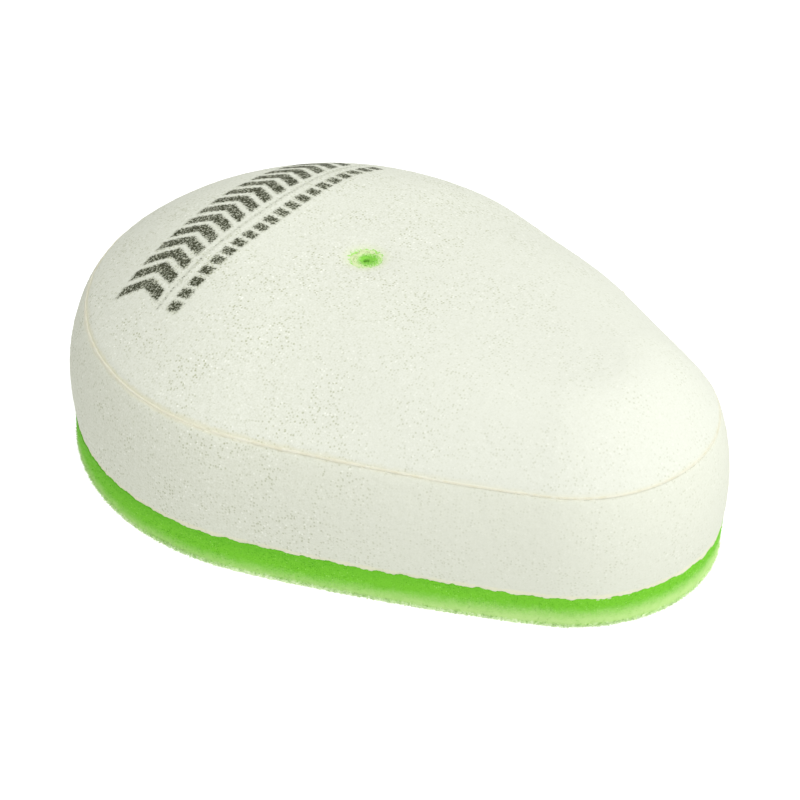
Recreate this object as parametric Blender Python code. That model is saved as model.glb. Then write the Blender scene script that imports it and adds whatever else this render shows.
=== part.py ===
"""Foam air filter element for a motorcycle airbox, egg-shaped in plan and open underneath like a cap.

Two foam caps sit one inside the other: a coarse white one outside and a fine green one inside. Each cap is a
domed top panel and a side band, cut from sheet and glued along a mitred seam. A band is a strip, so its ends
meet in a glued butt joint. Both caps stand on a green sealing rim. A retaining bolt passes through the top.

Frame: +Z up, origin at the middle of the underside, +X towards the narrow end, the XZ plane is the mirror plane.
"""

from collections import namedtuple
from math import acos, asin, atan, cos, pi, radians, sin, sqrt

import bmesh
import bpy
from mathutils import Vector

MM = 0.001

# The outline in plan: a wide and a narrow end arc, joined by two long flank arcs.
LENGTH = 240 * MM
WIDE_RADIUS = 88 * MM
NARROW_RADIUS = 50.7 * MM
FLANK_RADIUS = 608 * MM

# Heights above the sealing face.
RIM_HEIGHT = 12.6 * MM
SEAM_HEIGHT = 51.6 * MM
CROWN_WIDE = 25.4 * MM
CROWN_NARROW = 22.8 * MM
CROWN_WIDTH = 60 * MM
FLAT_SHARE = 0.3

# Foam sheets and the adhesive between them.
OUTER_FOAM = 7 * MM
INNER_FOAM = 9 * MM
GLUE = 0.4 * MM
GAP = 0.3 * MM
GLUE_BEAD = 0.45 * MM

# The band leans in towards the seam and is widest at its waist.
WAIST_HEIGHT = 28.2 * MM
WAIST_BULGE = 1.2 * MM
SEAM_INSET_WIDE = 4.6 * MM
SEAM_INSET_NARROW = 2.8 * MM

# The sealing rim overhangs the inside of the green band, to grip the cage's flange.
RIM_WIDTH = 20 * MM
RIM_EDGE = 1.6 * MM

# The bolt hole, with the flat seat that its washer clamps.
BOLT_X = -16.8 * MM
SEAT_RADIUS = 11 * MM
OUTER_HOLE_RADIUS = 4.75 * MM
INNER_HOLE_RADIUS = 3.4 * MM
COLLAR_WALL = 1.0 * MM
COLLAR_DEPTH = 2.8 * MM

# How many stations lie between the butt joints of the two bands, so that they aren't in line.
JOINT_STAGGER = 2

# How finely the outline and the sections are divided.
WIDE_STEPS = 22
FLANK_STEPS = 6
NARROW_STEPS = 14
CROWN_RINGS = (0.93, 0.84, 0.72, 0.58, 0.44, FLAT_SHARE)
BAND_STEPS = 4
SHARP_ANGLE = radians(35)

BAND_FOOT = RIM_HEIGHT + GLUE + 2 * GAP
INNER_LAYER = OUTER_FOAM + GAP
INSIDE = INNER_LAYER + INNER_FOAM
SEAM_CLEARANCE = GLUE / 2 + GAP
WIDE_CENTRE = Vector((WIDE_RADIUS - LENGTH / 2, 0))
NARROW_CENTRE = Vector((LENGTH / 2 - NARROW_RADIUS, 0))
BOLT = Vector((BOLT_X, 0))

COARSE_FOAM = ("coarse_white_foam", (0.84, 0.86, 0.76, 1), 0.95)
FINE_FOAM = ("fine_green_foam", (0.21, 0.58, 0.04, 1), 0.95)
ADHESIVE = ("cream_adhesive", (0.80, 0.76, 0.58, 1), 0.55)

Station = namedtuple("Station", "point normal narrowness spine")


def clear_scene():
    for thing in list(bpy.data.objects):
        bpy.data.objects.remove(thing)


def material(name, colour, roughness):
    made = bpy.data.materials.new(name)
    made.use_nodes = True
    shader = made.node_tree.nodes["Principled BSDF"]
    shader.inputs["Base Color"].default_value = colour
    shader.inputs["Roughness"].default_value = roughness
    shader.inputs["Metallic"].default_value = 0
    return made


def unit(angle):
    return Vector((cos(angle), sin(angle)))


def arc(centre, radius, start, end, steps):
    """Points of an arc without its last one, each with its outward normal."""
    angles = (start + (end - start) * i / steps for i in range(steps))
    return [(centre + radius * unit(a), unit(a)) for a in angles]


def outline():
    """Stations round the widest outline, counterclockwise from the wide end of the +Y flank."""
    span = (NARROW_CENTRE - WIDE_CENTRE).x
    to_wide, to_narrow = FLANK_RADIUS - WIDE_RADIUS, FLANK_RADIUS - NARROW_RADIUS
    reach = (to_wide**2 - to_narrow**2 + span**2) / (2 * span)
    depth = sqrt(to_wide**2 - reach**2)
    flank = WIDE_CENTRE + Vector((reach, 0))
    turn_wide, turn_narrow = acos(-reach / to_wide), acos((span - reach) / to_narrow)
    stations = []

    def add(points, start, end):
        for i, (point, normal) in enumerate(points):
            share = start + (end - start) * i / len(points)
            spine = WIDE_CENTRE.lerp(NARROW_CENTRE, share)
            stations.append(Station(point, normal, share, spine))

    add(arc(WIDE_CENTRE, WIDE_RADIUS, turn_wide, 2 * pi - turn_wide, WIDE_STEPS), 0, 0)
    below = flank + Vector((0, depth))
    add(arc(below, FLANK_RADIUS, -turn_wide, -turn_narrow, FLANK_STEPS), 0, 1)
    add(arc(NARROW_CENTRE, NARROW_RADIUS, -turn_narrow, turn_narrow, NARROW_STEPS), 1, 1)
    above = flank - Vector((0, depth))
    add(arc(above, FLANK_RADIUS, turn_narrow, turn_wide, FLANK_STEPS), 1, 0)
    return stations


def mix(a, b, share):
    return a + (b - a) * share


def at(station, inset, height):
    """The point this far in from the outline, at this height."""
    place = station.point - station.normal * inset
    return Vector((place.x, place.y, height))


def seam_inset(station):
    return mix(SEAM_INSET_WIDE, SEAM_INSET_NARROW, station.narrowness)


def wall(station, height):
    """(inset, tilt) of the band's outer face: bowed out to the waist, then an arc that leans in to the seam."""
    if height <= WAIST_HEIGHT:
        below = (WAIST_HEIGHT - height) / (WAIST_HEIGHT - BAND_FOOT)
        return -WAIST_BULGE * (1 - below**2), 0.0
    rise, lean = SEAM_HEIGHT - WAIST_HEIGHT, seam_inset(station) + WAIST_BULGE
    radius = (rise**2 + lean**2) / (2 * lean)
    tilt = asin((height - WAIST_HEIGHT) / radius)
    return radius * (1 - cos(tilt)) - WAIST_BULGE, tilt


def crown_height(place):
    """How far the top stands above the seam where it is fully risen."""
    return mix(CROWN_WIDE, CROWN_NARROW, place.x / LENGTH + 0.5)


def crown_width(radius):
    """How far in from the seam the top goes on rising. Inside that it is flat."""
    return min(CROWN_WIDTH, (1 - FLAT_SHARE) * radius)


def crown(station, share, depth):
    """A point of the domed top, or of the surface this deep under it. share is 1 at the seam and 0 on the spine."""
    edge = station.point - station.normal * seam_inset(station)
    radius = (edge - station.spine).length
    outward = (edge - station.spine).normalized()
    width = crown_width(radius)
    rise = min((1 - share) * radius / width, 1)
    place = station.spine + outward * radius * share
    height = SEAM_HEIGHT + crown_height(place) * (1 - (1 - rise) ** 2)
    tilt = atan(2 * crown_height(place) / width * (1 - rise))
    place = place - outward * depth * sin(tilt)
    return Vector((place.x, place.y, height - depth * cos(tilt)))


def mitre(station, depth, along):
    """A point of the seam's mitre plane: this deep under the surface, and this far along it from the seam."""
    edge = station.point - station.normal * seam_inset(station)
    slope = 2 * crown_height(edge) / crown_width((edge - station.spine).length)
    crown_tilt = pi / 2 - atan(slope)
    tilt = (wall(station, SEAM_HEIGHT)[1] + crown_tilt) / 2
    inset = seam_inset(station) + depth * cos(tilt) + along * sin(tilt)
    return at(station, inset, SEAM_HEIGHT - depth * sin(tilt) + along * cos(tilt))


def round_bolt(station, radius, height):
    """The point at this radius from the bolt's axis, in the direction of the station."""
    place = BOLT + (station.point - BOLT).normalized() * radius
    return Vector((place.x, place.y, height))


def seat_height(depth=0.0):
    return SEAM_HEIGHT + crown_height(BOLT) - depth


def panel_section(station, top, bottom, hole_radius, collar=()):
    """A domed panel between two depths, from its mitre over the top to the bolt hole and back underneath."""
    over = [mitre(station, top, SEAM_CLEARANCE)]
    over += [crown(station, share, top) for share in CROWN_RINGS]
    over += [round_bolt(station, SEAT_RADIUS, seat_height(top))]
    under = [round_bolt(station, SEAT_RADIUS, seat_height(bottom))]
    under += [crown(station, share, bottom) for share in reversed(CROWN_RINGS)]
    under += [mitre(station, bottom, SEAM_CLEARANCE)]
    mouth = list(collar) or [(hole_radius, top)]
    mouth += [(hole_radius, bottom)]
    return over + [round_bolt(station, radius, seat_height(depth)) for radius, depth in mouth] + under


def band_section(station, outer, inner):
    """A side band between two depths, from its foot up the outside to the mitre and down the inside."""
    heights = [BAND_FOOT, (BAND_FOOT + WAIST_HEIGHT) / 2]
    heights += [mix(WAIST_HEIGHT, SEAM_HEIGHT, i / BAND_STEPS) for i in range(BAND_STEPS)]
    faces = []
    for depth in (outer, inner):
        face = []
        for height in heights:
            inset, tilt = wall(station, height)
            face.append(at(station, inset + depth * cos(tilt), height - depth * sin(tilt)))
        faces.append(face + [mitre(station, depth, -SEAM_CLEARANCE)])
    return faces[0] + faces[1][::-1]


def seam_section(station, outer, inner, bead):
    """The film of adhesive in a mitre, with a bead where it is squeezed out."""
    half = GLUE / 2
    corners = [(inner, -half), (outer, -half), (outer, -bead), (outer - bead, -bead / 2)]
    corners += [(outer - bead, bead / 2), (outer, bead), (outer, half), (inner, half)]
    if not bead:
        corners = [(inner, -half), (outer, -half), (outer, half), (inner, half)]
    return [mitre(station, depth, along) for depth, along in corners]


def rim_section(station):
    """The sealing rim: flat above and below, with its lower edges rounded off."""
    high, wide, edge = RIM_HEIGHT, RIM_WIDTH, RIM_EDGE
    midway = edge * (1 - cos(pi / 4))
    corners = [(GAP, high), (GAP, edge), (GAP + midway, midway), (GAP + edge, 0)]
    corners += [(wide - edge, 0), (wide, edge), (wide, high)]
    return [at(station, inset, height) for inset, height in corners]


def rim_glue_section(station):
    low, high = RIM_HEIGHT + GAP, RIM_HEIGHT + GAP + GLUE
    inside = INSIDE - GAP
    return [at(station, *corner) for corner in ((GAP, low), (inside, low), (inside, high), (GAP, high))]


def sweep(name, sections, finish, closed=True):
    """One solid through a row of sections with equal numbers of points: a closed ring, or a strip with two ends."""
    shape = bmesh.new()
    rows = [[shape.verts.new(point) for point in section] for section in sections]
    pairs = list(zip(rows, rows[1:] + rows[:1])) if closed else list(zip(rows, rows[1:]))
    for here, there in pairs:
        for i in range(len(here)):
            shape.faces.new((here[i - 1], here[i], there[i], there[i - 1]))
    if not closed:
        shape.faces.new(rows[0])
        shape.faces.new(rows[-1])
    bmesh.ops.recalc_face_normals(shape, faces=shape.faces[:])
    mesh = bpy.data.meshes.new(name)
    shape.to_mesh(mesh)
    shape.free()
    mesh.materials.append(finish)
    mesh.shade_smooth()
    mesh.set_sharp_from_angle(angle=SHARP_ANGLE)
    thing = bpy.data.objects.new(name, mesh)
    bpy.context.scene.collection.objects.link(thing)
    return thing


def shifted(station, along):
    """The station moved this far along the outline."""
    tangent = Vector((-station.normal.y, station.normal.x))
    return station._replace(point=station.point + tangent * along, spine=station.spine + tangent * along)


def strip_and_joint(name, joint_name, stations, joint, outer, inner, foam, adhesive):
    """A band whose two ends meet at one station, and the film of adhesive between them."""
    start, end = shifted(stations[joint], SEAM_CLEARANCE), shifted(stations[joint], -SEAM_CLEARANCE)
    row = [start] + stations[joint + 1 :] + stations[:joint] + [end]
    sweep(name, [band_section(s, outer, inner) for s in row], foam, closed=False)
    faces = [shifted(stations[joint], side * GLUE / 2) for side in (-1, 1)]
    sweep(joint_name, [band_section(s, outer, inner) for s in faces], adhesive, closed=False)


def build():
    clear_scene()
    coarse, fine, adhesive = (material(*made) for made in (COARSE_FOAM, FINE_FOAM, ADHESIVE))
    stations = outline()
    flank_start = WIDE_STEPS + FLANK_STEPS + NARROW_STEPS
    outer_joint = flank_start + FLANK_STEPS // 2
    inner_joint = outer_joint + JOINT_STAGGER

    collar = [(INNER_HOLE_RADIUS + COLLAR_WALL, INNER_LAYER)]
    collar += [(INNER_HOLE_RADIUS + COLLAR_WALL, COLLAR_DEPTH), (INNER_HOLE_RADIUS, COLLAR_DEPTH)]

    outer_top = [panel_section(s, 0, OUTER_FOAM, OUTER_HOLE_RADIUS) for s in stations]
    inner_top = [panel_section(s, INNER_LAYER, INSIDE, INNER_HOLE_RADIUS, collar) for s in stations]
    sweep("outer_top_panel", outer_top, coarse)
    sweep("inner_top_panel", inner_top, fine)
    strip_and_joint(
        "outer_side_band", "outer_band_joint_glue", stations, outer_joint, 0, OUTER_FOAM, coarse, adhesive
    )
    strip_and_joint(
        "inner_side_band", "inner_band_joint_glue", stations, inner_joint, INNER_LAYER, INSIDE, fine, adhesive
    )
    sweep("outer_seam_glue", [seam_section(s, 0, OUTER_FOAM, GLUE_BEAD) for s in stations], adhesive)
    sweep("inner_seam_glue", [seam_section(s, INNER_LAYER, INSIDE, 0) for s in stations], adhesive)
    sweep("rim_bond_glue", [rim_glue_section(s) for s in stations], adhesive)
    sweep("sealing_rim", [rim_section(s) for s in stations], fine)


build()
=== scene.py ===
"""The looks of the foam air filter: every foam piece as cut and glued foam, with its cells, seams and print.

Lengths are in metres, in the frame of the solids: +Z up, +X towards the narrow end, the XZ plane mirrors.
"""

from math import acos, cos, pi, radians, sin, sqrt

import bpy
import numpy as np
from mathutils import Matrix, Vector, noise


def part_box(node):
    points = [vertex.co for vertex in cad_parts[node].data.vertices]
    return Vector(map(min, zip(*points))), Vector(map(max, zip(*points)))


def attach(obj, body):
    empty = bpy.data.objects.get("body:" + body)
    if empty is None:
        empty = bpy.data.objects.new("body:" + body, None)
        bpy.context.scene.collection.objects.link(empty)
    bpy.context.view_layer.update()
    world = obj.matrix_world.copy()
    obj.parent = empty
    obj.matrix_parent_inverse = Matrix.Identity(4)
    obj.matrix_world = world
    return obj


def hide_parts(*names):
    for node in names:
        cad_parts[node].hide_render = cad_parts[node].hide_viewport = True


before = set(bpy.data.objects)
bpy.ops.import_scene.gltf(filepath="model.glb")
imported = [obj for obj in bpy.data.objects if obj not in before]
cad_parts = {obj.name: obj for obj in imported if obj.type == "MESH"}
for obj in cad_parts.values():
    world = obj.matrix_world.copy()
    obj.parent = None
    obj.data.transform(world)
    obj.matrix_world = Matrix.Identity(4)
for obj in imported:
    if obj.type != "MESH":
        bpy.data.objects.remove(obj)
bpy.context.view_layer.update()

MM = 0.001

# ---------------------------------------------------------------- driving dimensions

rim_low, rim_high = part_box("sealing_rim")
band_low, band_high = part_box("outer_side_band")
film_low, film_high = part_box("rim_bond_glue")

GAP = 0.3 * MM  # between neighbouring solids
LENGTH = rim_high.x - rim_low.x + 2 * GAP
RIM_HEIGHT = rim_high.z
BAND_FOOT = band_low.z
WAIST_BULGE = (band_high.x - band_low.x - LENGTH) / 2
FILM_MIDDLE = (film_high.z + film_low.z) / 2

WIDE_RADIUS = 88 * MM
NARROW_RADIUS = 50.7 * MM
FLANK_RADIUS = 608 * MM
SEAM_HEIGHT = 51.6 * MM
CROWN_WIDE = 25.4 * MM
CROWN_NARROW = 22.8 * MM
CROWN_WIDTH = 60 * MM
FLAT_SHARE = 0.3
SHOULDER, SHOULDER_FROM, SHOULDER_SPAN = 0.5, 0.15, 1.1  # the crown is fuller than a parabola along the flanks
FULLER, FULL_AT, FULL_SPREAD = 2.0 * MM, 35 * MM, 24 * MM  # the flank on the +Y side is a little fuller
WAIST_HEIGHT = 28.2 * MM
SEAM_INSET_WIDE = 4.6 * MM
SEAM_INSET_NARROW = 2.8 * MM
OUTER_FOAM = 7 * MM
INNER_LAYER = OUTER_FOAM + GAP
INSIDE = INNER_LAYER + 9 * MM
RIM_WIDTH = 20 * MM
BOLT_X = -16.8 * MM
OUTER_HOLE = 4.5 * MM

WIDE_CENTRE = WIDE_RADIUS - LENGTH / 2
NARROW_CENTRE = LENGTH / 2 - NARROW_RADIUS
BOLT = np.array((BOLT_X, 0.0))


# ---------------------------------------------------------------- outline and surfaces


class Outline:
    """Evenly spaced stations round the widest outline, each with its outward normal and its spine point.

    A gap makes it an open strip, whose ends lie this far apart on either side of the start.
    """

    def __init__(self, count, start=0.0, gap=None):
        span = NARROW_CENTRE - WIDE_CENTRE
        to_wide, to_narrow = FLANK_RADIUS - WIDE_RADIUS, FLANK_RADIUS - NARROW_RADIUS
        reach = (to_wide**2 - to_narrow**2 + span**2) / (2 * span)
        depth = sqrt(to_wide**2 - reach**2)
        turn_wide, turn_narrow = acos(-reach / to_wide), acos((span - reach) / to_narrow)
        flank = WIDE_CENTRE + reach
        arcs = [
            ((WIDE_CENTRE, 0), WIDE_RADIUS, turn_wide, 2 * pi - turn_wide, 0, 0),
            ((flank, depth), FLANK_RADIUS, -turn_wide, -turn_narrow, 0, 1),
            ((NARROW_CENTRE, 0), NARROW_RADIUS, -turn_narrow, turn_narrow, 1, 1),
            ((flank, -depth), FLANK_RADIUS, turn_narrow, turn_wide, 1, 0),
        ]
        lengths = np.array([radius * abs(end - begin) for _, radius, begin, end, _, _ in arcs])
        ends = np.cumsum(lengths)
        self.length, self.flank_length = ends[-1], lengths[-1]
        if gap is None:
            steps = np.arange(count) * self.length / count
        else:
            steps = np.linspace(gap / 2, self.length - gap / 2, count)
        self.along = (start + steps) % self.length
        which = np.searchsorted(ends, self.along, side="right")
        share = (self.along - (ends - lengths)[which]) / lengths[which]
        table = np.array([(*centre, radius, *rest) for centre, radius, *rest in arcs])[which]
        angle = table[:, 3] + (table[:, 4] - table[:, 3]) * share
        self.normal = np.column_stack((np.cos(angle), np.sin(angle)))
        self.place = table[:, :2] + table[:, 2:3] * self.normal
        bump = np.exp(-(((self.place[:, 0] - FULL_AT) / FULL_SPREAD) ** 2))
        self.place += self.normal * FULLER * np.where(self.place[:, 1] > 0, bump, 0)[:, None]
        self.narrowness = table[:, 5] + (table[:, 6] - table[:, 5]) * share
        spine = WIDE_CENTRE + span * self.narrowness
        self.spine = np.column_stack((spine, np.zeros(count)))
        self.count = count

    def part(self, keep):
        """The same outline with only some of its stations."""
        made = object.__new__(Outline)
        for name in ("along", "normal", "place", "narrowness", "spine"):
            setattr(made, name, getattr(self, name)[keep])
        made.length, made.count = self.length, len(made.along)
        return made


def mix(a, b, share):
    return a + (b - a) * share


def points(plan, height):
    return np.column_stack((plan, np.broadcast_to(height, len(plan))))


def at(line, inset, height):
    """The points this far in from the outline, at this height."""
    inset = np.broadcast_to(inset, line.count)
    return points(line.place - line.normal * inset[:, None], height)


def seam_inset(line):
    return mix(SEAM_INSET_WIDE, SEAM_INSET_NARROW, line.narrowness)


def wall(line, height):
    """(inset, tilt) of the band's outer face: bowed out to the waist, then an arc that leans in to the seam."""
    lean = seam_inset(line) + WAIST_BULGE
    rise = SEAM_HEIGHT - WAIST_HEIGHT
    radius = (rise**2 + lean**2) / (2 * lean)
    below = np.clip((WAIST_HEIGHT - height) / (WAIST_HEIGHT - BAND_FOOT), 0, None)
    tilt = np.arcsin(np.clip((height - WAIST_HEIGHT) / radius, 0, 1))
    return radius * (1 - np.cos(tilt)) - WAIST_BULGE * (1 - below**2), tilt


def band_point(line, height, depth=0.0):
    inset, tilt = wall(line, height)
    return at(line, inset + depth * np.cos(tilt), height - depth * np.sin(tilt))


def crown_height(x):
    """How far the top stands above the seam where it is fully risen."""
    return mix(CROWN_WIDE, CROWN_NARROW, x / LENGTH + 0.5)


def edge_and_radius(line):
    edge = line.place - line.normal * seam_inset(line)[:, None]
    return edge, np.linalg.norm(edge - line.spine, axis=1)


def crown_width(radius):
    return np.minimum(CROWN_WIDTH, (1 - FLAT_SHARE) * radius)


def crown_power(line):
    """How full the crown's shoulder is: 2 is a parabola, as at the wide end."""
    share = np.clip((line.narrowness - SHOULDER_FROM) / SHOULDER_SPAN, 0, 1)
    return 2 + SHOULDER * np.sin(pi * share) ** 1.5


def crown(line, share, depth=0.0):
    """Points of the domed top, or of the surface this deep under it. share is 1 at the seam and 0 on the spine."""
    edge, radius = edge_and_radius(line)
    outward = (edge - line.spine) / radius[:, None]
    width, power = crown_width(radius), crown_power(line)
    rise = np.clip((1 - share) * radius / width, 0, 1)
    plan = line.spine + outward * (radius * share)[:, None]
    height = crown_height(plan[:, 0])
    tilt = np.arctan(power * height / width * (1 - rise) ** (power - 1))
    plan = plan - outward * (depth * np.sin(tilt))[:, None]
    return points(plan, SEAM_HEIGHT + height * (1 - (1 - rise) ** power) - depth * np.cos(tilt))


def flat_top(line, share, radius, depth=0.0):
    """Points of the flat middle of the top. share is 1 on the crown's last ring and 0 on a circle round the bolt."""
    ring = crown(line, FLAT_SHARE, depth)[:, :2]
    outward = ring - BOLT
    outward /= np.linalg.norm(outward, axis=1)[:, None]
    plan = mix(BOLT + outward * np.reshape(radius, (-1, 1)), ring, share)
    return points(plan, SEAM_HEIGHT + crown_height(plan[:, 0]) - depth)


def mitre(line, depth, along):
    """Points of the seam's mitre plane: this deep under the surface, and this far along it from the seam."""
    edge, radius = edge_and_radius(line)
    crown_tilt = pi / 2 - np.arctan(crown_power(line) * crown_height(edge[:, 0]) / crown_width(radius))
    tilt = (wall(line, SEAM_HEIGHT)[1] + crown_tilt) / 2
    inset = seam_inset(line) + depth * np.cos(tilt) + along * np.sin(tilt)
    return at(line, inset, SEAM_HEIGHT - depth * np.sin(tilt) + along * np.cos(tilt))


# ---------------------------------------------------------------- meshes


def bridge(a, b, first_a, first_b):
    """Faces between two rings of a and b points, where one may have twice as many points as the other."""
    small = min(a, b)
    i = np.arange(small)
    after = (i + 1) % small
    if a == b:
        return np.column_stack((first_a + i, first_a + after, first_b + after, first_b + i)), []
    wide, narrow = (first_a, first_b) if a > b else (first_b, first_a)
    low, middle, high = wide + 2 * i, wide + 2 * i + 1, wide + (2 * i + 2) % (2 * small)
    here, there = narrow + i, narrow + after
    fan = np.vstack(
        (
            np.column_stack((low, middle, here)),
            np.column_stack((middle, high, there)),
            np.column_stack((middle, there, here)),
        )
    )
    return [], fan if a > b else fan[:, ::-1]


def ring_solid(name, rings):
    """A closed solid through rings of points, each with as many points as the last, or half or twice as many."""
    starts = np.cumsum([0] + [len(ring) for ring in rings])
    quads, tris = [], []
    for i, ring in enumerate(rings):
        j = (i + 1) % len(rings)
        square, fan = bridge(len(ring), len(rings[j]), starts[i], starts[j])
        quads.extend(np.asarray(square).tolist())
        tris.extend(np.asarray(fan).tolist())
    return mesh_object(name, np.vstack(rings), quads + tris)


def strip_solid(name, rings, closed):
    """A solid whose section is a loop of points, one ring for each point of the loop, running round the outline.

    closed joins the last station to the first. Otherwise both ends of the strip are capped.
    """
    grid = np.array(rings).transpose(1, 0, 2)
    stations, loop, _ = grid.shape
    index = np.arange(stations * loop).reshape(stations, loop)
    here = index if closed else index[:-1]
    there = np.roll(index, -1, axis=0) if closed else index[1:]
    quads = np.stack((here, there, np.roll(there, -1, axis=1), np.roll(here, -1, axis=1)), axis=2)
    faces = quads.reshape(-1, 4).tolist()
    if not closed:
        faces += [index[0].tolist(), index[-1][::-1].tolist()]
    return mesh_object(name, grid.reshape(-1, 3), faces)


def signed_volume(coordinates, faces):
    total = 0.0
    for size in (3, 4):
        same = np.array([face for face in faces if len(face) == size])
        for k in range(1, size - 1):
            if len(same):
                a, b, c = (coordinates[same[:, i]] for i in (0, k, k + 1))
                total += np.einsum("ij,ij->i", a, np.cross(b, c)).sum()
    return total


def mesh_object(name, coordinates, faces):
    if signed_volume(coordinates, faces) < 0:
        faces = [face[::-1] for face in faces]
    mesh = bpy.data.meshes.new(name)
    mesh.from_pydata(coordinates.tolist(), [], faces)
    mesh.shade_smooth()
    mesh.update()
    made = bpy.data.objects.new(name, mesh)
    bpy.context.scene.collection.objects.link(made)
    return made


def vectors_of(thing, name):
    """The mesh's points by "co", or their normals by "normal"."""
    flat = np.empty(len(thing.data.vertices) * 3)
    thing.data.vertices.foreach_get(name, flat)
    return flat.reshape(-1, 3)


def lumps(place, size, seed):
    """Smooth noise of about -1 to 1 at each point, with lumps of this size."""
    shift = Vector((seed * 7.31, seed * 3.17, seed * 5.71))
    return np.array([noise.noise(Vector(p) / size + shift) for p in place.tolist()])


def roughen(thing, layers, allowed=1.0, level_below=-1.0):
    """Moves each point along its normal by layers of noise, each (lump size, height, seed).

    allowed is the share of the move that each point makes. Points below level_below move only sideways.
    """
    place, normal = vectors_of(thing, "co"), vectors_of(thing, "normal")
    normal[place[:, 2] < level_below, 2] = 0
    move = sum(height * lumps(place, size, seed) for size, height, seed in layers) * allowed
    thing.data.vertices.foreach_set("co", (place + normal * move[:, None]).ravel())
    thing.data.update()


def spikes(name, roots, ways, lengths, widths):
    """Torn struts: a thin closed pyramid at each root, pointing its own way."""
    ways = ways / np.linalg.norm(ways, axis=1)[:, None]
    side = np.cross(ways, np.where(np.abs(ways[:, 2:]) < 0.8, (0.0, 0, 1), (1.0, 0, 0)))
    side /= np.linalg.norm(side, axis=1)[:, None]
    other = np.cross(ways, side)
    turns = (0, 2 * pi / 3, 4 * pi / 3)
    corners = [roots + (side * cos(turn) + other * sin(turn)) * widths[:, None] / 2 for turn in turns]
    tips = roots + ways * lengths[:, None]
    first = 4 * np.arange(len(roots))[:, None]
    faces = np.vstack([first + np.array(face) for face in ((0, 1, 3), (1, 2, 3), (2, 0, 3), (2, 1, 0))])
    made = mesh_object(name, np.stack((*corners, tips), axis=1).reshape(-1, 3), faces.tolist())
    made.data.shade_flat()
    return made


def join(thing, *others):
    with bpy.context.temp_override(active_object=thing, selected_editable_objects=[thing, *others]):
        bpy.ops.object.join()
    return thing


# ---------------------------------------------------------------- node helpers


class Nodes:
    """A short way to write a material's node tree."""

    def __init__(self, name):
        self.material = bpy.data.materials.new(name)
        self.material.use_nodes = True
        self.tree = self.material.node_tree
        self.shader = self.tree.nodes["Principled BSDF"]

    def add(self, kind, **settings):
        node = self.tree.nodes.new(kind)
        for key, value in settings.items():
            setattr(node, key, value)
        return node

    def put(self, socket, value):
        """Links an output to the socket, or sets the socket to a plain value."""
        if isinstance(value, bpy.types.NodeSocket):
            self.tree.links.new(value, socket)
        elif value is not None:
            socket.default_value = value

    def put_all(self, node, **values):
        """The same for sockets by name, with _ for a space in the name."""
        for name, value in values.items():
            self.put(node.inputs[name.replace("_", " ")], value)

    def math(self, operation, a, b=None, c=None):
        node = self.add("ShaderNodeMath", operation=operation)
        for socket, value in zip(node.inputs, (a, b, c)):
            self.put(socket, value)
        return node.outputs[0]

    def times(self, a, b):
        return self.math("MULTIPLY", a, b)

    def smooth(self, value, low, high, start=0.0, end=1.0):
        """An eased ramp, from start where the value is low to end where it is high."""
        node = self.add("ShaderNodeMapRange", interpolation_type="SMOOTHSTEP")
        self.put_all(node, Value=value, From_Min=low, From_Max=high, To_Min=start, To_Max=end)
        return node.outputs["Result"]

    def blend(self, share, a, b):
        node = self.add("ShaderNodeMix", data_type="RGBA")
        for index, value in ((0, share), (6, a), (7, b)):
            self.put(node.inputs[index], value)
        return node.outputs[2]

    def position(self):
        return self.add("ShaderNodeTexCoord").outputs["Object"]

    def split(self, vector):
        """A vector's X, Y and Z."""
        node = self.add("ShaderNodeSeparateXYZ")
        self.put(node.inputs[0], vector)
        return tuple(node.outputs)

    def noise(self, place, size, detail=2.0, roughness=0.5, output="Fac"):
        node = self.add("ShaderNodeTexNoise")
        self.put_all(node, Vector=place, Scale=1 / size, Detail=detail, Roughness=roughness)
        return node.outputs[output]

    def cells(self, place, size):
        """How far each point is from its cell's middle, in cells, and a colour that is each cell's own."""
        node = self.add("ShaderNodeTexVoronoi", voronoi_dimensions="3D", feature="F1")
        self.put_all(node, Vector=place, Scale=1 / size)
        return node.outputs["Distance"], node.outputs["Color"]

    def finish(self, colour, roughness, specular):
        self.put_all(self.shader, Base_Color=colour, Roughness=roughness, Specular_IOR_Level=specular)
        return self.material

    def bump(self, height, strength, distance):
        node = self.add("ShaderNodeBump")
        self.put_all(node, Height=height, Strength=strength, Distance=distance)
        self.put(self.shader.inputs["Normal"], node.outputs["Normal"])


def rgb(red, green, blue):
    """An sRGB colour of 0 to 255 as the linear colour that the shader takes."""
    shares = (red / 255, green / 255, blue / 255)
    return (*(c / 12.92 if c <= 0.04045 else ((c + 0.055) / 1.055) ** 2.4 for c in shares), 1.0)


# ---------------------------------------------------------------- foam

WHITE_CELL, WHITE_RELIEF = 1.05 * MM, 0.12
GREEN_CELL, GREEN_RELIEF = 0.62 * MM, 0.25
FOAM_ROUGHNESS, FOAM_SPECULAR = 0.9, 0.2

# base, painted shade in the pores and painted highlight on the struts
WHITE_TOP = rgb(211, 214, 203), rgb(167, 171, 144), rgb(229, 231, 222)
WHITE_BAND = rgb(211, 214, 201), *WHITE_TOP[1:]
GREEN = rgb(117, 195, 47), rgb(76, 158, 18), rgb(154, 215, 95)

PATCH = 14 * MM  # the grain is stronger in patches of this size
CALM_FROM, CALM_TO, CALM_END = -30 * MM, 80 * MM, 0.4  # the white grain fades to this share between these X

# a yellow tint along the seam: adhesive soaked into the foam, with painted shade of the seam's crease; and the
# adhesive's cream along the band's foot
SOAK_AND_SHADE, FOOT_CREAM = rgb(209, 207, 179), rgb(221, 218, 186)
SOAK_AND_SHADE_REACH, SOAK_AND_SHADE_LEAST, SOAK_AND_SHADE_PATCH = 2.6 * MM, 0.2 * MM, 4 * MM
SOAK_AND_SHADE_FROM, SOAK_AND_SHADE_TO = -60 * MM, 80 * MM
FOOT_SOAKED, FOOT_PATCH = 1.6 * MM, 1.5 * MM

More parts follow.
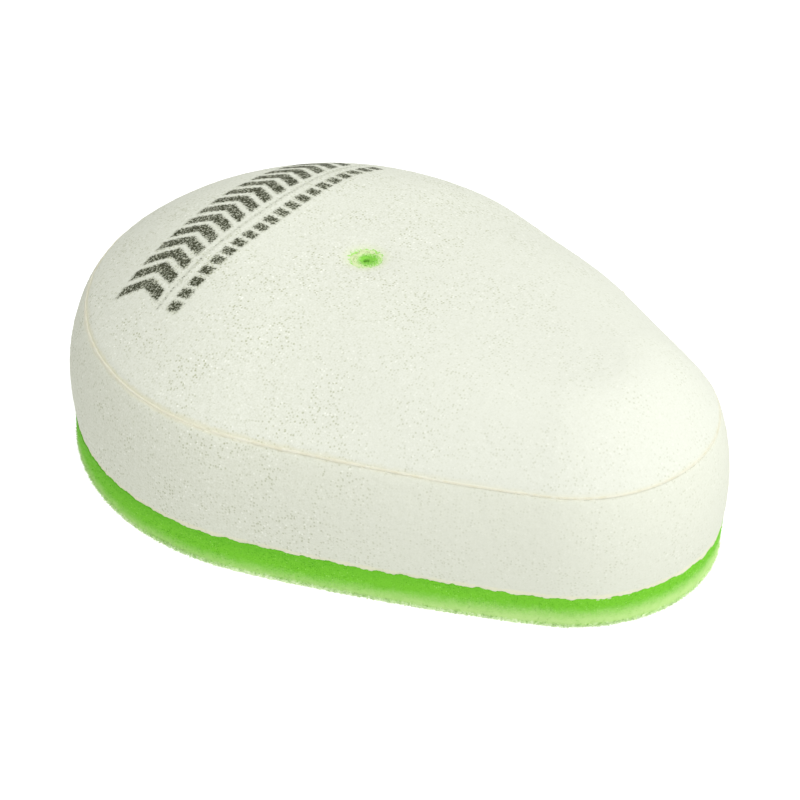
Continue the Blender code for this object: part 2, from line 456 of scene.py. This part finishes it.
HALO, HOLE_FLECKS, HOLE_FIBRES = rgb(196, 213, 142), rgb(142, 203, 83), rgb(203, 215, 169)
HALO_EDGE, HALO_FULL = 9.5 * MM, 4.0 * MM
FLECK, FLECK_SPREAD = 0.7 * MM, 5.0 * MM
FIBRE, FIBRE_SPREAD, FIBRE_LEAN = 0.6 * MM, 4.5 * MM, 0.35

# painted light on the rim's cut face: pale green low down and near-white on its torn lower edge; painted shade under
# the band: deeper green
RIM_PALE_PAINTED_LIGHT, RIM_TORN_PAINTED_LIGHT, RIM_SHADED = rgb(181, 217, 135), rgb(236, 247, 216), rgb(74, 160, 20)
PAINTED_LIGHT_END, PAINTED_LIGHT_REACH, PAINTED_LIGHT_START = 110 * MM, 4.5 * MM, 0.3  # the painted light reaches further up towards the narrow end


def foam(name, cell, relief, colours, calm_end=1.0, extras=()):
    """Open-cell foam: painted shade in the pores and painted highlight on the struts as pinpoints, stronger in some
    patches than in others.
    """
    base, pore_shade, strut_highlight = colours
    n = Nodes(name)
    place = n.position()
    distance, own_colour = n.cells(place, cell)
    own = n.add("ShaderNodeSeparateColor")
    n.put(own.inputs[0], own_colour)
    patchy = n.smooth(n.noise(place, PATCH, detail=3.0), 0.36, 0.66, 0.3, 1.0)
    calm = n.smooth(n.split(place)[0], CALM_FROM, CALM_TO, 1.0, calm_end)
    spot = n.times(n.smooth(distance, 0.5, 0.12), n.times(patchy, calm))
    # painted shade: some pores darkened, as if shaded inside
    shaded_pores = n.times(spot, n.smooth(own.outputs[0], 0.3, 0.65))
    # painted highlight: some struts lightened, as if catching the light
    lit_struts = n.times(spot, n.smooth(own.outputs[0], 0.32, 0.05))
    grain = n.noise(place, cell * 0.6, detail=1.0)
    tone = n.blend(n.times(n.smooth(grain, 0.3, 0.7, 0.0, 0.22), calm), base, pore_shade)
    colour = n.blend(lit_struts, n.blend(shaded_pores, tone, pore_shade), strut_highlight)
    for extra in extras:
        colour = extra(n, place, shaded_pores, colour)
    n.bump(n.math("SUBTRACT", n.math("ADD", lit_struts, grain), shaded_pores), relief, cell * 0.3)
    return n.finish(colour, FOAM_ROUGHNESS, FOAM_SPECULAR)


def soak_and_seam_shade(n, place, _, colour):
    """A yellow tint along the seam, partly adhesive soaked into the foam and partly painted shade in the seam's
    crease, and the cream along the foot.
    """
    x, _, z = n.split(place)
    away = n.math("ABSOLUTE", n.math("SUBTRACT", z, SEAM_HEIGHT))
    reach = n.math("MULTIPLY_ADD", n.noise(place, SOAK_AND_SHADE_PATCH, detail=4.0), SOAK_AND_SHADE_REACH, SOAK_AND_SHADE_LEAST)
    near = n.smooth(n.math("DIVIDE", away, reach), 1.0, 0.2)
    # the tint and its painted shade are strongest towards -X, away from the key light
    fading = n.smooth(x, SOAK_AND_SHADE_FROM, SOAK_AND_SHADE_TO, 0.6, 0.25)
    colour = n.blend(n.times(near, fading), colour, SOAK_AND_SHADE)
    foot = n.math("MULTIPLY_ADD", n.noise(place, FOOT_PATCH, detail=3.0), -FOOT_SOAKED, z)
    low = n.smooth(foot, BAND_FOOT + 0.6 * MM, BAND_FOOT - 0.8 * MM, 0.0, 0.6)
    return n.blend(low, colour, FOOT_CREAM)


def from_bolt(n, place):
    """How far each point is along X from the bolt's axis, and how far from it in plan."""
    x, y, _ = n.split(place)
    across = n.math("SUBTRACT", x, BOLT_X)
    return across, n.math("SQRT", n.math("ADD", n.math("POWER", across, 2.0), n.math("POWER", y, 2.0)))


def halo(n, place, _, colour):
    """The green of the inner foam that shows faintly through the thin white foam round the bolt hole."""
    _, away = from_bolt(n, place)
    colour = n.blend(n.smooth(away, HALO_EDGE, HALO_FULL, 0.0, 0.35), colour, HALO)
    flecks = n.math("MULTIPLY_ADD", n.noise(place, FLECK), -FLECK_SPREAD, away)
    return n.blend(n.smooth(flecks, 3.6 * MM, 2.4 * MM, 0.0, 0.9), colour, HOLE_FLECKS)


def through_the_hole(n, place, _, colour):
    """Pale torn fibres mixed into the green round the edge of the bolt hole."""
    across, away = from_bolt(n, place)
    leaning = n.math("MULTIPLY_ADD", across, -FIBRE_LEAN, away)
    flecks = n.math("MULTIPLY_ADD", n.noise(place, FIBRE), FIBRE_SPREAD, leaning)
    fibres = n.smooth(flecks, 4.3 * MM, 6.8 * MM, 0.1, 0.9)
    on_top = n.math("GREATER_THAN", n.split(place)[2], SEAM_HEIGHT + 18 * MM)
    return n.blend(n.times(fibres, on_top), colour, HOLE_FIBRES)


def rim_painted_light_and_shade(n, place, _, colour):
    """The cut edge with painted light, paler at the bottom and towards the narrow end, and painted shade, deeper
    green under the band's overhang.
    """
    x, _, z = n.split(place)
    uneven = n.math("MULTIPLY_ADD", n.noise(place, 3 * MM, detail=3.0), 3 * MM, z)
    uneven = n.math("MULTIPLY_ADD", n.noise(place, 0.8 * MM), 2.5 * MM, uneven)
    uneven = n.math("MULTIPLY_ADD", n.smooth(x, 0.0, PAINTED_LIGHT_END, PAINTED_LIGHT_START, 1.0), -PAINTED_LIGHT_REACH, uneven)
    _, _, facing = n.split(n.add("ShaderNodeTexCoord").outputs["Normal"])
    beside = n.smooth(facing, -0.95, -0.6, 0.15, 1.0)
    # painted light: paler low down and towards the narrow end, less on faces that face down
    painted_light = n.times(beside, n.smooth(uneven, 8.5 * MM, 0.5 * MM))
    # painted light: the torn lower edge painted nearly white, as if lit through
    torn = n.math("MULTIPLY_ADD", n.noise(place, 0.9 * MM), 2.5 * MM, z)
    torn = n.times(beside, n.smooth(torn, 3.6 * MM, 1.4 * MM, 0.0, 0.9))
    # the cut face with its painted light
    worn = n.blend(torn, n.blend(painted_light, colour, RIM_PALE_PAINTED_LIGHT), RIM_TORN_PAINTED_LIGHT)
    # painted shade: deeper green where the band overhangs the rim
    return n.blend(n.smooth(uneven, 9.0 * MM, 15.0 * MM, 0.0, 0.35), worn, RIM_SHADED)


# ---------------------------------------------------------------- the print

CHEVRON_X, CHEVRON_TALL = -72.8 * MM, 18.6 * MM
CHEVRON_PITCH, CHEVRON_STROKE, CHEVRON_LEAN = 7.1 * MM, 4.9 * MM, 0.5
FIRST_CHEVRON, LAST_CHEVRON = -7, 8
DASH_X, DASH_TALL = -55.2 * MM, 5.3 * MM
DASH_PITCH, DASH_LONG, DASHES = 5.6 * MM, 4.3 * MM, 20
LINE_X, LINE_TALL, LINE_SHARE = -61.1 * MM, 0.9 * MM, 0.6
PRINT_SHAKE, PRINT_SHAKE_SIZE, PRINT_SOFT = 1.3 * MM, 0.9 * MM, 1.0 * MM
INK, INK_STAIN, STAIN_SHARE = rgb(57, 60, 43), rgb(148, 152, 127), 0.55


def printed(n, place, shaded_pores, colour):
    """Plain chevrons, a thin line and a row of dashes, in ink that wets only some of the cells' struts."""
    shake = n.add("ShaderNodeVectorMath", operation="MULTIPLY_ADD")
    wobble = n.noise(place, PRINT_SHAKE_SIZE, output="Color")
    for socket, value in zip(shake.inputs, (wobble, (PRINT_SHAKE,) * 3, place)):
        n.put(socket, value)
    x, y, _ = n.split(shake.outputs[0])
    y = n.math("SUBTRACT", y, PRINT_SHAKE / 2)

    def band(value, middle, half):
        """How far from the middle, and 1 within half of it, with a soft edge."""
        away = n.math("ABSOLUTE", n.math("SUBTRACT", value, middle))
        return away, n.smooth(away, half + PRINT_SOFT, half - PRINT_SOFT)

    def row(middle, tall):
        return band(x, middle + PRINT_SHAKE / 2, tall / 2)

    def within(value, low, high):
        return band(value, (low + high) / 2, (high - low) / 2)[1]

    def repeat(value, pitch, long):
        """Stripes this long at this pitch."""
        share = n.math("SUBTRACT", n.math("FRACT", n.math("DIVIDE", value, pitch)), 0.5)
        return band(n.times(share, pitch), 0.0, long / 2)[1]

    across, inside = row(CHEVRON_X, CHEVRON_TALL)
    slanted = n.math("MULTIPLY_ADD", across, CHEVRON_LEAN, y)
    chevrons = n.times(inside, repeat(slanted, CHEVRON_PITCH, CHEVRON_STROKE))
    first, last = (count * CHEVRON_PITCH for count in (FIRST_CHEVRON, LAST_CHEVRON))
    chevrons = n.times(chevrons, within(slanted, first, last))
    dashes = n.times(row(DASH_X, DASH_TALL)[1], repeat(y, DASH_PITCH, DASH_LONG))
    line = n.times(row(LINE_X, LINE_TALL)[1], LINE_SHARE)
    ends = within(y, -DASH_PITCH * DASHES / 2, DASH_PITCH * DASHES / 2)
    shape = n.math("MAXIMUM", chevrons, n.times(n.math("MAXIMUM", dashes, line), ends))

    flecks = n.noise(place, 0.7 * MM, detail=2.0, roughness=0.6)
    worn = n.math("MULTIPLY_ADD", n.noise(place, 4 * MM), 0.2, -0.1)
    thin = n.math("MULTIPLY_ADD", shape, 0.36, -0.36)
    dried = n.smooth(n.math("ADD", n.math("ADD", flecks, worn), thin), 0.3, 0.56)
    wet = n.times(n.smooth(shaded_pores, 0.9, 0.4, 0.75, 1.0), n.smooth(shape, 0.0, 0.12))
    on_top = n.math("GREATER_THAN", n.split(place)[2], SEAM_HEIGHT)
    stain = n.times(n.times(shape, on_top), STAIN_SHARE)
    return n.blend(n.times(on_top, n.times(wet, dried)), n.blend(stain, colour, INK_STAIN), INK)


# ---------------------------------------------------------------- materials

white_top = foam(
    "coarse_white_foam_printed", WHITE_CELL, WHITE_RELIEF, WHITE_TOP, CALM_END, extras=(soak_and_seam_shade, halo, printed)
)
white_band = foam("coarse_white_foam", WHITE_CELL, WHITE_RELIEF, WHITE_BAND, CALM_END, extras=(soak_and_seam_shade,))
green_foam = foam("fine_green_foam", GREEN_CELL, GREEN_RELIEF, GREEN, extras=(through_the_hole,))
rim_green = foam("fine_green_rim_foam", GREEN_CELL, GREEN_RELIEF, GREEN, extras=(rim_painted_light_and_shade,))


def adhesive():
    """Cured contact adhesive: cream, slightly shiny, with a soft skin."""
    n = Nodes("cream_adhesive")
    place = n.position()
    tone = n.smooth(n.noise(place, 2.2 * MM, detail=3.0), 0.3, 0.7)
    n.bump(n.noise(place, 0.9 * MM, detail=3.0), 0.4, 0.3 * MM)
    return n.finish(n.blend(tone, rgb(211, 211, 195), rgb(205, 203, 181)), 0.55, 0.35)


cream = adhesive()


def finish_piece(thing, material, slot, *nodes, soft=True):
    thing.data.materials.append(material)
    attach(thing, "root")
    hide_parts(*nodes)


# ---------------------------------------------------------------- edges that meet

SEAM_GROOVE, SEAM_ROLL = 0.5 * MM, 1.3 * MM
SEAM_FILM = 0.2 * MM  # half of the gap in a mitred seam
BEAD_FILM = 0.12 * MM  # half of the adhesive's thickness in it
JOINT_GAP = 0.5 * MM
whole = Outline(2)
OUTER_JOINT = whole.length - whole.flank_length / 2
INNER_JOINT = whole.length - whole.flank_length / 6
RIM_EDGE, RIM_PROUD, RIM_LEAN_WIDE, RIM_LEAN_NARROW = 0.25 * MM, 0.1 * MM, 0.2 * MM, 1.3 * MM
FLOOR = 0.35 * MM  # the torn lower edge sinks into the paper a little
EDGE_STRUTS, FACE_STRUTS, FUZZ_STRUTS = 7000, 3500, 320
FRINGE_STATIONS, SEAM_STATIONS = 4001, 1024
RIM_OUTER_RINGS = 32  # the rim's rings from its top down to halfway across its underside
# radius and depth under the top, in mm, from the collar's root over its lip and down the bolt's way
COLLAR_PROFILE = (
    (4.6, 6.9),
    (5.9, 2.2),
    (5.8, 1.1),
    (5.2, 0.93),
    (4.4, 0.9),
    (3.4, 0.9),
    (2.2, 1.1),
    (1.2, 1.6),
    (0.9, 2.4),
    (1.3, 3.8),
    (2.4, 7.0),
    (3.2, 10.5),
    (3.4, 15.8),
    (3.9, 16.3),
)
HOLE_DIP, HOLE_DIP_REACH = 0.7 * MM, 5 * MM
HOLE_LIP, HOLE_LIP_REACH = 0.3 * MM, 1.2 * MM
HOLE_RAGGED, HOLE_TAPER, HOLE_TAPER_DEPTH = 0.8 * MM, 0.6 * MM, 3 * MM


def boundary(line):
    """The wavy cut where the white band meets the green rim, as a height: scallops about 9 mm long."""
    scallop = np.abs(np.sin(pi * line.along / (9.2 * MM) + 1.3 * np.sin(line.along / (31 * MM))))
    plan = at(line, 0, 0)
    drift = lumps(plan, 16 * MM, 3)
    ragged = lumps(plan, 1.4 * MM, 4) + 0.8 * lumps(plan, 0.8 * MM, 18)
    return FILM_MIDDLE - 0.55 * MM * (scallop - 0.6) + 0.45 * MM * drift + 0.42 * MM * ragged


def groove(line, distance):
    """How far a sheet's face rolls in at this distance from its glued edge."""
    return SEAM_GROOVE * mix(1.0, 0.3, line.narrowness) * np.exp(-((distance / SEAM_ROLL) ** 2))


# ---------------------------------------------------------------- foam pieces


def panel_lines():
    """A panel's outline with all its stations, a half, a quarter and an eighth of them."""
    fine = Outline(768)
    return [fine.part(slice(None, None, step)) for step in (1, 2, 4, 8)]


def outer_top_panel():
    fine, mid, low, few = panel_lines()
    rings = [mitre(fine, groove(fine, 0.0), SEAM_FILM)]
    for share in (0.9975, 0.993, 0.988, 0.982, 0.975, *np.linspace(0.966, 0.62, 40)):
        distance = (1 - share) * edge_and_radius(fine)[1]
        rings.append(crown_sunk(fine, share, groove(fine, distance)))
    rings += [crown(mid, share) for share in np.linspace(0.608, FLAT_SHARE, 34)]
    for line, first, last, count in ((mid, 0.985, 0.55, 62), (low, 0.54, 0.22, 40), (few, 0.21, 0.0, 26)):
        rings += [dipped(line, share) for share in np.linspace(first, last, count)]
    rings += [dipped(few, 0, depth * MM) for depth in (0.35, 0.8, 1.4, 2.2, 3.2, 4.6, 7.0)]
    rings.append(flat_top(few, 0.5, OUTER_HOLE, OUTER_FOAM))
    rings.append(crown(few, FLAT_SHARE, OUTER_FOAM))
    rings += [crown(low, share, OUTER_FOAM) for share in (0.5, 0.7)]
    rings += [crown(mid, share, OUTER_FOAM) for share in (0.82, 0.93)]
    rings += [mitre(fine, depth, SEAM_FILM) for depth in (OUTER_FOAM, 4.5 * MM, 2 * MM, 0.9 * MM)]
    panel = ring_solid("outer_top_foam", rings)
    roughen(panel, [(24 * MM, 0.1 * MM, 1), (2.6 * MM, 0.1 * MM, 2), (1.1 * MM, 0.08 * MM, 15)])
    return panel


def crown_sunk(line, share, depth):
    """Points of the domed top, with a depth of their own at each station."""
    place = crown(line, share)
    under = crown(line, share, MM)
    return place + (under - place) / MM * np.reshape(depth, (-1, 1))


def dipped(line, share, depth=0.0):
    """The flat top with a soft dip and a ragged, rounded lip at the bolt hole."""
    ring = crown(line, FLAT_SHARE)[:, :2]
    angle = np.arctan2(ring[:, 1], ring[:, 0] - BOLT_X)
    ragged = 0.35 * np.sin(3 * angle + 0.6) + 0.3 * np.sin(7 * angle + 2.0) + 0.2 * np.sin(13 * angle + 1.0)
    radius = OUTER_HOLE + HOLE_RAGGED * ragged - HOLE_TAPER * np.clip(depth / HOLE_TAPER_DEPTH, 0, 1)
    place = flat_top(line, share, radius, depth)
    distance = np.linalg.norm(place[:, :2] - BOLT, axis=1) - radius
    for dip, reach in ((HOLE_DIP, HOLE_DIP_REACH), (HOLE_LIP, HOLE_LIP_REACH)):
        place[:, 2] -= dip * np.exp(-((distance / reach) ** 2))
    return place


def outer_side_band():
    line = Outline(1024, OUTER_JOINT, JOINT_GAP)
    low = boundary(line) - 0.5 * MM
    rings = []
    for step in np.linspace(0, 1, 54):
        height = mix(low, SEAM_HEIGHT - 0.1 * MM, step)
        inset = wall(line, np.maximum(height, BAND_FOOT))[0]
        rings.append(at(line, inset + 0.05 * MM + groove(line, SEAM_HEIGHT - height), height))
    rings.append(mitre(line, groove(line, 0.0), -SEAM_FILM))
    rings += [mitre(line, depth, -SEAM_FILM) for depth in (2 * MM, OUTER_FOAM)]
    rings += [band_point(line, height, OUTER_FOAM) for height in (40 * MM, WAIST_HEIGHT, 20 * MM)]
    rings += [at(line, OUTER_FOAM, BAND_FOOT), at(line, 1.6 * MM, BAND_FOOT), at(line, 0.8 * MM, low)]
    band = strip_solid("outer_side_foam", rings, closed=False)
    roughen(band, [(30 * MM, 0.2 * MM, 5), (3.2 * MM, 0.1 * MM, 6), (1.1 * MM, 0.08 * MM, 16)])
    return band


def sealing_rim():
    line = Outline(1200)
    top = boundary(line)
    edge, inside = RIM_EDGE, RIM_WIDTH
    rings = [at(line, 1.2 * MM, top - 0.7 * MM), at(line, 0.35 * MM, top)]
    for share in np.linspace(0, 1, 17):
        height = mix(top - 0.15 * MM, edge + 0.3 * MM, share)
        rings.append(at(line, rim_inset(line, height), height))
    for angle in np.linspace(0.15, pi / 2, 5):
        rings.append(at(line, rim_inset(line, 0) + edge * (1 - cos(angle)), edge * (1 - sin(angle))))
    for inset in np.linspace(3 * MM, inside - edge, 16):
        rings.append(at(line, inset, 0))
    for angle in np.linspace(1.2, 0.15, 4):
        rings.append(at(line, inside - edge * (1 - cos(angle)), edge * (1 - sin(angle))))
    for height in np.linspace(2.2 * MM, RIM_HEIGHT - 0.5 * MM, 9):
        rings.append(at(line, inside, height))
    rings += [at(line, inset, RIM_HEIGHT) for inset in (inside - 0.5 * MM, INSIDE, OUTER_FOAM, 2.2 * MM)]
    rim = strip_solid("rim_foam", rings, closed=True)
    outside = np.tile(np.arange(len(rings)) < RIM_OUTER_RINGS, line.count)
    layers = [(18 * MM, 0.35 * MM, 8), (2.2 * MM, 0.2 * MM, 9), (0.9 * MM, 0.25 * MM, 10)]
    roughen(rim, layers, rim_roughness(vectors_of(rim, "co"), outside), level_below=MM)
    return join(rim, rim_fringe())


def rim_inset(line, height):
    """The rim's cut face: a little proud of the band's foot at the top, and leaning in towards its own foot."""
    foot = mix(RIM_LEAN_WIDE, RIM_LEAN_NARROW, line.narrowness)
    return mix(foot, -RIM_PROUD, np.clip(height / BAND_FOOT, 0, 1) ** 0.8)


def rim_roughness(place, outside):
    """Little on the glued top, and most along the torn lower edge outside."""
    low = outside * np.clip(1 - place[:, 2] / (2.5 * MM), 0, 1)
    free = np.clip((RIM_HEIGHT - 0.3 * MM - place[:, 2]) / MM, 0.25, 1)
    return free * (0.5 + 1.3 * low)


def rim_fringe():
    """Torn struts on the rim's cut face: long and dense along its lower edge, short and sparse above it."""
    random = np.random.default_rng(5)
    count = EDGE_STRUTS + FACE_STRUTS
    line = Outline(FRINGE_STATIONS).part(random.integers(0, FRINGE_STATIONS, count))
    at_edge = np.arange(count) < EDGE_STRUTS
    share = random.random(count)
    height = np.where(at_edge, mix(0.45 * MM, 2 * MM, share**1.5), mix(1.5 * MM, 12 * MM, share))
    inset = rim_inset(line, height) + 0.15 * MM
    long, short = mix(0.4, 1.2, random.random(count)), mix(0.3, 0.6, random.random(count))
    length = np.where(at_edge, long, short) * MM
    tangent = np.column_stack((-line.normal[:, 1], line.normal[:, 0]))
    flat = line.normal + tangent * random.normal(0, 0.5, count)[:, None]
    lift = np.maximum(random.normal(0, 0.35, count), (FLOOR + 0.1 * MM - height) / length)
    width = mix(0.26, 0.5, random.random(count)) * MM
    return spikes("rim_fringe", at(line, inset, height), np.column_stack((flat, lift)), length, width)


def inner_top_panel():
    fine, mid, low, few = panel_lines()
    top = INNER_LAYER
    rings = [mitre(mid, top, SEAM_FILM), crown(mid, 0.93, top)]
    rings += [crown(low, share, top) for share in (0.8, 0.6, 0.45, FLAT_SHARE)]
    rings += [flat_top(few, share, 4.8 * MM, top) for share in (0.6, 0.3, 0.1, 0)]
    radius, depth = np.array(COLLAR_PROFILE).T * MM
    along = np.concatenate(([0], np.cumsum(np.hypot(np.diff(radius), np.diff(depth)))))
    for step in np.linspace(0, along[-1], 62):
        rings.append(flat_top(few, 0, np.interp(step, along, radius), np.interp(step, along, depth)))
    for line, first, last, count in ((few, 0.04, 0.16, 10), (low, 0.18, 0.5, 30), (mid, 0.52, 1.0, 40)):
        rings += [flat_top(line, share, radius[-1], INSIDE) for share in np.linspace(first, last, count)]
    rings += [crown(mid, share, INSIDE) for share in np.linspace(0.32, 0.6, 24)]
    rings += [crown(fine, share, INSIDE) for share in np.linspace(0.612, 0.985, 36)]
    rings += [mitre(fine, INSIDE, SEAM_FILM), mitre(fine, mix(top, INSIDE, 0.5), SEAM_FILM)]
    panel = ring_solid("inner_top_foam", rings)
    roughen(panel, [(20 * MM, 0.3 * MM, 11), (2.0 * MM, 0.16 * MM, 12), (0.9 * MM, 0.2 * MM, 17)])
    return join(panel, collar_fuzz())


def round_bolt(radius, angle, depth):
    """Points round the bolt's axis, this deep under the flat top."""
    plan = BOLT + np.column_stack((np.cos(angle), np.sin(angle))) * radius[:, None]
    return points(plan, SEAM_HEIGHT + crown_height(plan[:, 0]) - depth)


def collar_fuzz():
    """Torn struts that stand up from the punched green foam in the bolt hole."""
    random = np.random.default_rng(6)
    count = FUZZ_STRUTS
    radius, angle = OUTER_HOLE * np.sqrt(random.random(count)), 2 * pi * random.random(count)
    depth = np.interp(radius, (1.4 * MM, 2.0 * MM, 3.0 * MM), (2.2 * MM, 1.5 * MM, 1.0 * MM))
    ways = np.column_stack((random.normal(0, 0.6, (count, 2)), mix(0.5, 1.0, random.random(count))))
    length, width = (mix(low, high, random.random(count)) * MM for low, high in ((0.4, 0.9), (0.16, 0.3)))
    return spikes("collar_fuzz", round_bolt(radius, angle, depth), ways, length, width)


def inner_side_band():
    line = Outline(768, INNER_JOINT, JOINT_GAP)
    rings = [mitre(line, INSIDE, -SEAM_FILM)]
    rings += [band_point(line, height, INSIDE) for height in np.linspace(50.5 * MM, WAIST_HEIGHT, 32)]
    rings += [band_point(line, height, INSIDE) for height in np.linspace(27 * MM, BAND_FOOT, 14)]
    rings += [at(line, INNER_LAYER, BAND_FOOT)]
    rings += [band_point(line, height, INNER_LAYER) for height in (20 * MM, WAIST_HEIGHT, 40 * MM)]
    rings += [mitre(line, INNER_LAYER, -SEAM_FILM)]
    band = strip_solid("inner_side_foam", rings, closed=False)
    roughen(band, [(26 * MM, 0.3 * MM, 13), (2.0 * MM, 0.14 * MM, 14)])
    return band


# ---------------------------------------------------------------- adhesive pieces


def seam_bead(name, depth, reach, width, proud, seed):
    """Adhesive in a mitred seam, squeezed out into a thin uneven bead.

    depth is where the bead shows, and reach is how far the film goes into the seam from there.
    """
    line = Outline(SEAM_STATIONS)
    plan = at(line, 0, 0)
    uneven = 1 + 0.45 * lumps(plan, 9 * MM, seed) + 0.35 * lumps(plan, 2.4 * MM, seed + 1)
    uneven = np.maximum(uneven * mix(1.1, 0.6, line.narrowness), 0.5)
    sway = 0.15 * MM * lumps(plan, 13 * MM, seed + 2)
    side = 1 if reach > 0 else -1
    shallow, deep = depth + reach * 0.2, depth + reach
    rings = [mitre(line, deep, -BEAD_FILM), mitre(line, shallow, -BEAD_FILM)]
    for angle in np.linspace(-0.95, 0.95, 9) * pi / 2:
        along = sway + np.maximum(width * uneven, 2 * SEAM_FILM) * sin(angle)
        out = proud * uneven * cos(angle) - 0.04 * MM
        rings.append(mitre_each(line, depth - side * out, along))
    rings += [mitre(line, shallow, BEAD_FILM), mitre(line, deep, BEAD_FILM)]
    return strip_solid(name, rings, closed=True)


def mitre_each(line, depth, along):
    """Mitre points with a depth and a distance along the surface of their own at each station."""
    base, deeper, further = mitre(line, 0, 0), mitre(line, MM, 0), mitre(line, 0, MM)
    down, over = (np.reshape(share / MM, (-1, 1)) for share in (depth, along))
    return base + (deeper - base) * down + (further - base) * over


def joint_bead(name, start, depth, side):
    """Adhesive in the butt joint of a band: a film between the strip's ends, and a thin bead that shows.

    side is 1 where the bead shows outside, and -1 where it shows inside.
    """
    line = Outline(1, start=start)
    outward = np.array((*line.normal[0], 0.0)) * side
    tangent = np.array((-line.normal[0, 1], line.normal[0, 0], 0.0))
    rings = []
    for height in np.linspace(FILM_MIDDLE, SEAM_HEIGHT - 0.35 * MM, 60):
        surface = band_point(line, np.array([height]), depth)[0]
        root = surface - outward * 6 * MM
        width = (0.55 + 0.2 * noise.noise(Vector((start * 90, 0, height / (3 * MM))))) * MM
        section = [root - tangent * BEAD_FILM]
        for angle in np.linspace(-0.9, 0.9, 7) * pi / 2:
            section.append(surface + tangent * width * sin(angle) + outward * (0.4 * MM * cos(angle) - BEAD_FILM))
        rings.append([*section, root + tangent * BEAD_FILM])
    return strip_solid(name, np.array(rings).transpose(1, 0, 2), closed=False)


def rim_film():
    line = Outline(768)
    low, high = film_low.z, film_high.z
    outer, inner = 0.9 * MM, INSIDE - GAP
    corners = ((outer, low), (inner, low), (inner, high), (outer, high))
    return strip_solid("rim_adhesive", [at(line, *corner) for corner in corners], closed=True)


# ---------------------------------------------------------------- the assembly

outer_depth = groove(Outline(SEAM_STATIONS), 0.0)
finish_piece(outer_top_panel(), white_top, "white_foam", "outer_top_panel")
finish_piece(outer_side_band(), white_band, "white_foam", "outer_side_band")
finish_piece(sealing_rim(), rim_green, "green_foam", "sealing_rim")
finish_piece(inner_top_panel(), green_foam, "green_foam", "inner_top_panel")
finish_piece(inner_side_band(), green_foam, "green_foam", "inner_side_band")
for made, node in (
    (seam_bead("outer_seam_adhesive", outer_depth, 5 * MM, 0.45 * MM, 0.2 * MM, 21), "outer_seam_glue"),
    (seam_bead("inner_seam_adhesive", INSIDE, -6 * MM, 1.1 * MM, 1.4 * MM, 31), "inner_seam_glue"),
    (joint_bead("outer_joint_adhesive", OUTER_JOINT, 0.0, 1), "outer_band_joint_glue"),
    (joint_bead("inner_joint_adhesive", INNER_JOINT, INSIDE, -1), "inner_band_joint_glue"),
    (rim_film(), "rim_bond_glue"),
):
    finish_piece(made, cream, "cream_glue", node, soft=False)


# ---------------------------------------------------------------- floor, light and camera

# the floor glows like a light table, so that the white ground has no shadow, as in the photo
FLOOR_GREY, FLOOR_GLOW, FLOOR_RADIUS = 0.25, 0.95, 9
SKY_STRENGTH, SKY_COLOUR = 0.5, (1.0, 0.985, 0.955, 1.0)
KEY_AZIMUTH, KEY_ELEVATION = 90, 62
KEY_STRENGTH, KEY_SIZE = 3.0, radians(75)

VIEW_AZIMUTH, VIEW_ELEVATION, VIEW_DISTANCE = 37.95, 36.17, 1.4026
VIEW_LENS, SENSOR = 184.7, 36.0
VIEW_RIGHT, VIEW_UP = -1.9 * MM, 19.6 * MM


def studio():
    bpy.ops.mesh.primitive_circle_add(
        vertices=128, radius=FLOOR_RADIUS, fill_type="NGON", location=(0, 0, FLOOR)
    )
    floor = bpy.context.object
    floor.name = "floor"
    n = Nodes("pale_floor")
    n.put_all(n.shader, Emission_Color=(1, 1, 1, 1), Emission_Strength=FLOOR_GLOW)
    floor.data.materials.append(n.finish((FLOOR_GREY, FLOOR_GREY, FLOOR_GREY, 1), 1.0, 0.0))

    world = bpy.data.worlds.new("studio")
    bpy.context.scene.world = world
    world.use_nodes = True
    sky = world.node_tree.nodes["Background"]
    sky.inputs["Color"].default_value = SKY_COLOUR
    sky.inputs["Strength"].default_value = SKY_STRENGTH

    light = bpy.data.lights.new("key", "SUN")
    light.energy, light.angle = KEY_STRENGTH, KEY_SIZE
    lamp = bpy.data.objects.new("key", light)
    bpy.context.scene.collection.objects.link(lamp)
    lamp.rotation_euler = toward(KEY_AZIMUTH, KEY_ELEVATION).to_track_quat("Z", "Y").to_euler()


def toward(azimuth, elevation):
    """The direction from the object to a place at this azimuth (0 is -Y, 90 is +X) and elevation, in degrees."""
    a, e = radians(azimuth), radians(elevation)
    return Vector((sin(a) * cos(e), -cos(a) * cos(e), sin(e)))


def camera():
    back = toward(VIEW_AZIMUTH, VIEW_ELEVATION)
    a, e = radians(VIEW_AZIMUTH), radians(VIEW_ELEVATION)
    right = Vector((cos(a), sin(a), 0))
    up = Vector((-sin(a) * sin(e), cos(a) * sin(e), cos(e)))
    data = bpy.data.cameras.new("camera")
    data.lens, data.sensor_width = VIEW_LENS, SENSOR
    made = bpy.data.objects.new("camera", data)
    bpy.context.scene.collection.objects.link(made)
    made.location = right * VIEW_RIGHT + up * VIEW_UP + back * VIEW_DISTANCE
    made.rotation_euler = back.to_track_quat("Z", "Y").to_euler()
    bpy.context.scene.camera = made


studio()
camera()
bpy.context.scene.view_settings.view_transform = "Standard"
